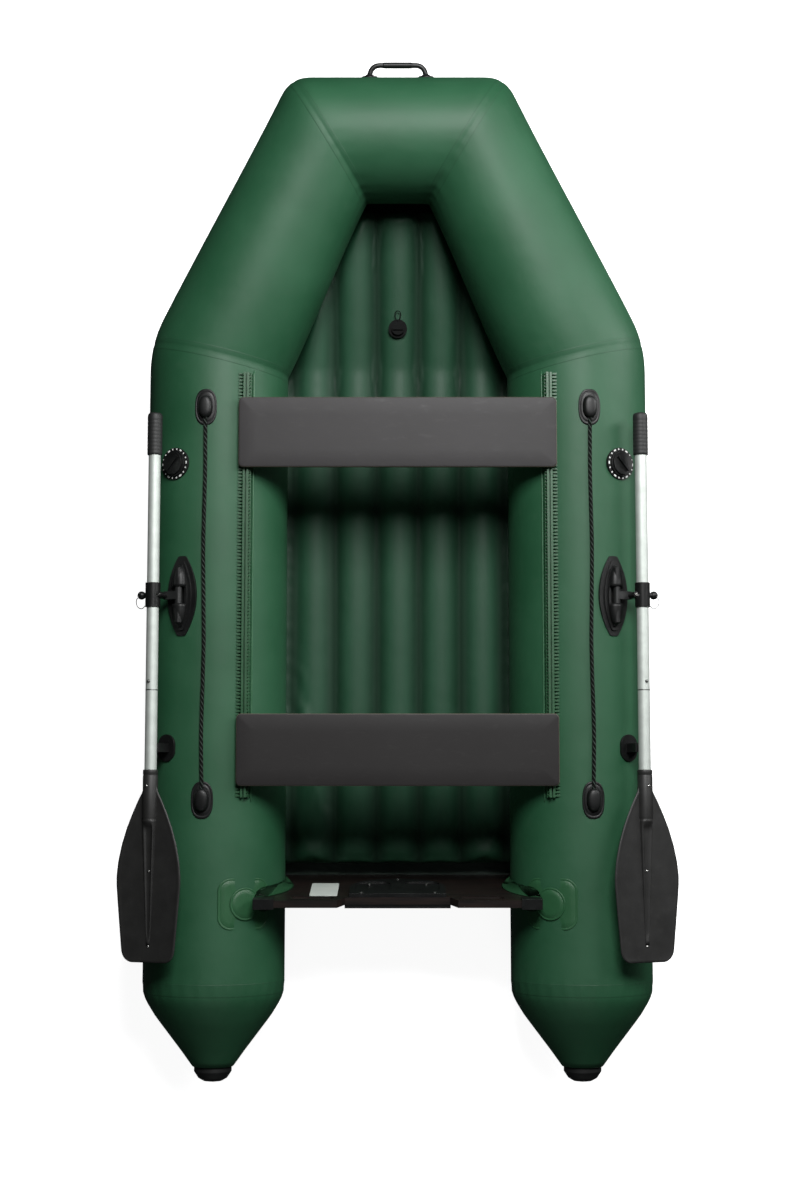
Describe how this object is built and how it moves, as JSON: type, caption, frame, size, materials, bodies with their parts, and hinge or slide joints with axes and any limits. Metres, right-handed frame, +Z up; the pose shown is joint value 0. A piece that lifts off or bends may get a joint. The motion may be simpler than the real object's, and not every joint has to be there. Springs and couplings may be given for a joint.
{
  "type": "inflatable dinghy",
  "caption": "Inflatable boat with round side tubes, air floor, plywood transom, sliding seats, swivelling rowlocks and stowed oars.",
  "frame": {"origin": "on the ground under the middle of the boat", "axes": "+Y towards the bow along the boat, +X to starboard, +Z up"},
  "size_m": [1.5234, 2.86, 0.48],
  "materials": {
    "hull_fabric": "satin PVC-coated polyester fabric, green",
    "floor_fabric": "satin PVC-coated floor fabric, green",
    "bottom_fabric": "PVC-coated bottom fabric, dark green",
    "inner_fabric": "matt uncoated side of the hull fabric",
    "moulded_rubber": "matt black moulded rubber",
    "cap_rubber": "black moulded rubber end cap",
    "black_plastic": "fine-textured black nylon",
    "grey_plastic": "dark grey nylon",
    "valve_plastic": "black valve plastic with plain pale tick marks",
    "seat_board": "dark grey painted plywood, satin",
    "transom_ply": "dark brown phenolic-faced plywood, glossy",
    "bright_aluminium": "anodised aluminium tube",
    "steel_rivet": "polished stainless steel",
    "blade_plastic": "black moulded nylon, satin",
    "grip_rubber": "black vinyl grip",
    "rope": "black braided polypropylene rope"
  },
  "bodies": {
    "hull": {"front_tube": "hull_fabric", "port_bow_tube": "hull_fabric", "starboard_bow_tube": "hull_fabric", "port_side_tube": "hull_fabric", "starboard_side_tube": "hull_fabric", "port_stern_cone": "hull_fabric", "starboard_stern_cone": "hull_fabric", "stern_caps": "cap_rubber", "bow_bulkhead": "inner_fabric", "bottom_sheet": "bottom_fabric", "air_floor": "floor_fabric", "floor_webs": "inner_fabric", "floor_valve_body": "valve_plastic", "transom_board": "transom_ply", "inner_motor_pad": "black_plastic", "outer_motor_pad": "black_plastic", "pad_screws": "steel_rivet", "transom_end_caps": "black_plastic", "transom_flanges": "hull_fabric", "transom_patches": "hull_fabric", "transom_discs": "hull_fabric", "bow_handle": "moulded_rubber", "port_rail": "hull_fabric", "starboard_rail": "hull_fabric", "rope_mounts": "moulded_rubber", "port_lifeline": "rope", "starboard_lifeline": "rope", "port_valve_body": "valve_plastic", "starboard_valve_body": "valve_plastic", "port_valve_spring": "steel_rivet", "starboard_valve_spring": "steel_rivet", "port_rowlock_base": "moulded_rubber", "starboard_rowlock_base": "moulded_rubber", "rowlock_hinge_pins": "steel_rivet", "oar_clips": "moulded_rubber"},
    "port_rowlock": {"port_rowlock_arm": "grey_plastic"},
    "port_oar": {"port_swivel_rivet": "steel_rivet", "port_oar_collar": "grey_plastic", "port_oar_grip": "grip_rubber", "port_upper_shaft": "bright_aluminium", "port_lower_shaft": "bright_aluminium", "port_oar_blade": "blade_plastic"},
    "port_button": {"port_snap_button": "steel_rivet"},
    "port_cap": {"port_valve_cap": "valve_plastic"},
    "port_plunger": {"port_valve_plunger": "grey_plastic"},
    "starboard_rowlock": {"starboard_rowlock_arm": "grey_plastic"},
    "starboard_oar": {"starboard_swivel_rivet": "steel_rivet", "starboard_oar_collar": "grey_plastic", "starboard_oar_grip": "grip_rubber", "starboard_upper_shaft": "bright_aluminium", "starboard_lower_shaft": "bright_aluminium", "starboard_oar_blade": "blade_plastic"},
    "starboard_button": {"starboard_snap_button": "steel_rivet"},
    "starboard_cap": {"starboard_valve_cap": "valve_plastic"},
    "starboard_plunger": {"starboard_valve_plunger": "grey_plastic"},
    "floor_cap": {"floor_valve_cap": "valve_plastic"},
    "front_thwart": {"front_seat": "seat_board", "front_seat_strips": "black_plastic"},
    "rear_thwart": {"rear_seat": "seat_board", "rear_seat_strips": "black_plastic"}
  },
  "joints": [
    {"name": "port_rowlock_tilt", "type": "hinge", "parent": "hull", "child": "port_rowlock", "pos_m": [-0.60026, -0.097, 0.39524], "axis": [0, 1, 0], "range_deg": [0, 22]},
    {"name": "port_oar_swing", "type": "hinge", "parent": "port_rowlock", "child": "port_oar", "pos_m": [-0.63498, -0.097, 0.37978], "axis": [0.4067, 0, -0.9135], "range_deg": [0, 100]},
    {"name": "port_snap_button_press", "type": "slide", "parent": "port_oar", "child": "port_button", "axis": [0.4067, 0, -0.9135], "range_m": [0, 0.0042], "stiffness_N_per_m": 500, "springref_m": -0.004},
    {"name": "port_valve_cap_twist", "type": "hinge", "parent": "hull", "child": "port_cap", "pos_m": [-0.62169, 0.273, 0.37255], "axis": [-0.5299, 0, 0.848], "range_deg": [0, 90]},
    {"name": "port_valve_press", "type": "slide", "parent": "hull", "child": "port_plunger", "axis": [0.5299, 0, -0.848], "range_m": [0, 0.005], "stiffness_N_per_m": 500, "springref_m": -0.004, "deforming": ["port_valve_spring"]},
    {"name": "starboard_rowlock_tilt", "type": "hinge", "parent": "hull", "child": "starboard_rowlock", "pos_m": [0.60026, -0.097, 0.39524], "axis": [0, -1, 0], "range_deg": [0, 22]},
    {"name": "starboard_oar_swing", "type": "hinge", "parent": "starboard_rowlock", "child": "starboard_oar", "pos_m": [0.63498, -0.097, 0.37978], "axis": [0.4067, 0, 0.9135], "range_deg": [0, 100]},
    {"name": "starboard_snap_button_press", "type": "slide", "parent": "starboard_oar", "child": "starboard_button", "axis": [-0.4067, 0, -0.9135], "range_m": [0, 0.0042], "stiffness_N_per_m": 500, "springref_m": -0.004},
    {"name": "starboard_valve_cap_twist", "type": "hinge", "parent": "hull", "child": "starboard_cap", "pos_m": [0.62169, 0.273, 0.37255], "axis": [0.5299, 0, 0.848], "range_deg": [0, 90]},
    {"name": "starboard_valve_press", "type": "slide", "parent": "hull", "child": "starboard_plunger", "axis": [-0.5299, 0, -0.848], "range_m": [0, 0.005], "stiffness_N_per_m": 500, "springref_m": -0.004, "deforming": ["starboard_valve_spring"]},
    {"name": "floor_valve_cap_twist", "type": "hinge", "parent": "hull", "child": "floor_cap", "pos_m": [0, 0.71538, 0.12226], "axis": [0, -0.2027, 0.9792], "range_deg": [0, 90]},
    {"name": "front_seat_slide", "type": "slide", "parent": "hull", "child": "front_thwart", "axis": [0, -1, 0], "range_m": [0, 0.3]},
    {"name": "rear_seat_slide", "type": "slide", "parent": "hull", "child": "rear_thwart", "axis": [0, 1, 0], "range_m": [0, 0.3]}
  ]
}
